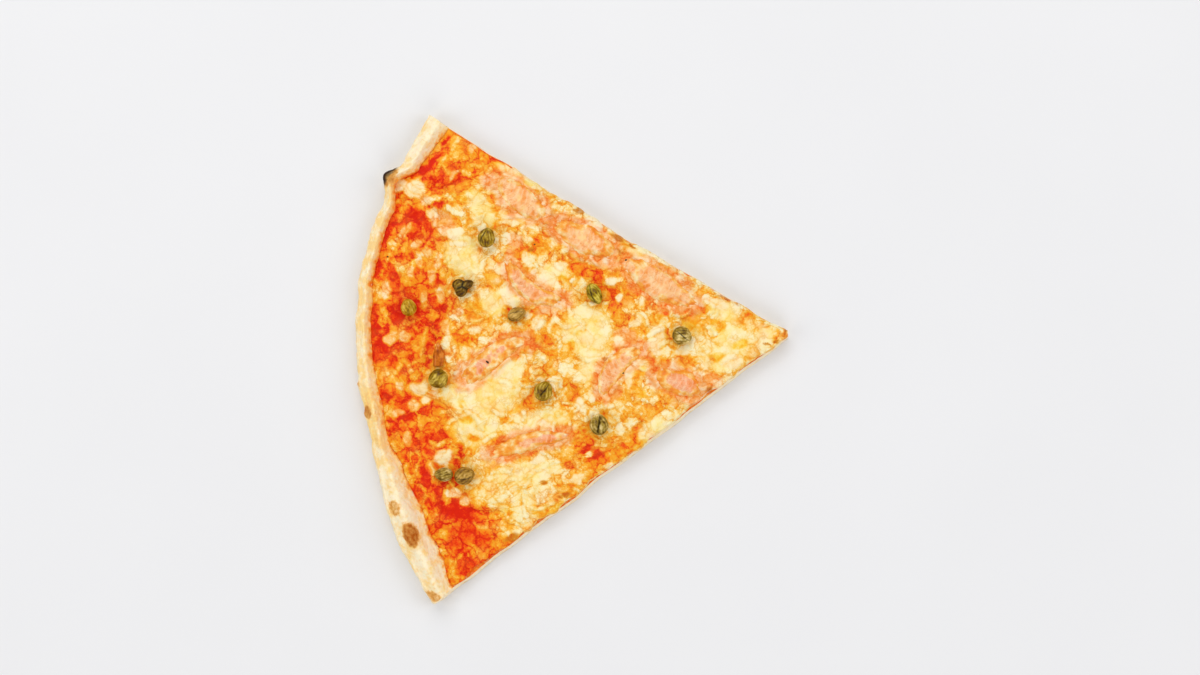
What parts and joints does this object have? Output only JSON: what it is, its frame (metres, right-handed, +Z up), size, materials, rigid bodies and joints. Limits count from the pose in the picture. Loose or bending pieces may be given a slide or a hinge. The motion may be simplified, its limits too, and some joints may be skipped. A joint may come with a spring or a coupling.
{
  "type": "slice of pizza",
  "caption": "Wedge of thin-crust pizza with a puffed rim, tomato sauce, melted cheese, flakes of smoked salmon and scattered capers.",
  "frame": {"origin": "middle of the slice's footprint, on the surface that it rests on", "axes": "+Z up, +X towards the tip, and Y along the chord between the rim's two corners, with the burnt blister on the +Y side"},
  "size_m": [0.161, 0.1831, 0.0135],
  "materials": {
    "baked_dough": "matte, floury, browned in spots",
    "tomato_sauce": "wet and grainy",
    "melted_cheese": "satin, oily in places",
    "smoked_salmon": "satin, cooked through",
    "pickled_caper": "satin, wrinkled",
    "baked_stalk": "satin, browned"
  },
  "bodies": {
    "root": {"crust": "baked_dough", "tomato_sauce": "tomato_sauce", "melted_cheese": "melted_cheese", "salmon_1": "smoked_salmon", "salmon_2": "smoked_salmon", "salmon_3": "smoked_salmon", "salmon_4": "smoked_salmon", "salmon_5": "smoked_salmon", "salmon_6": "smoked_salmon", "salmon_7": "smoked_salmon", "salmon_8": "smoked_salmon", "caper_1": "pickled_caper", "caper_2": "pickled_caper", "caper_3": "pickled_caper", "caper_4": "pickled_caper", "caper_5": "pickled_caper", "caper_6": "pickled_caper", "caper_7": "pickled_caper", "caper_8": "pickled_caper", "caper_9": "pickled_caper", "caper_10": "pickled_caper", "caper_11": "pickled_caper", "caper_stalk": "baked_stalk"}
  },
  "joints": []
}
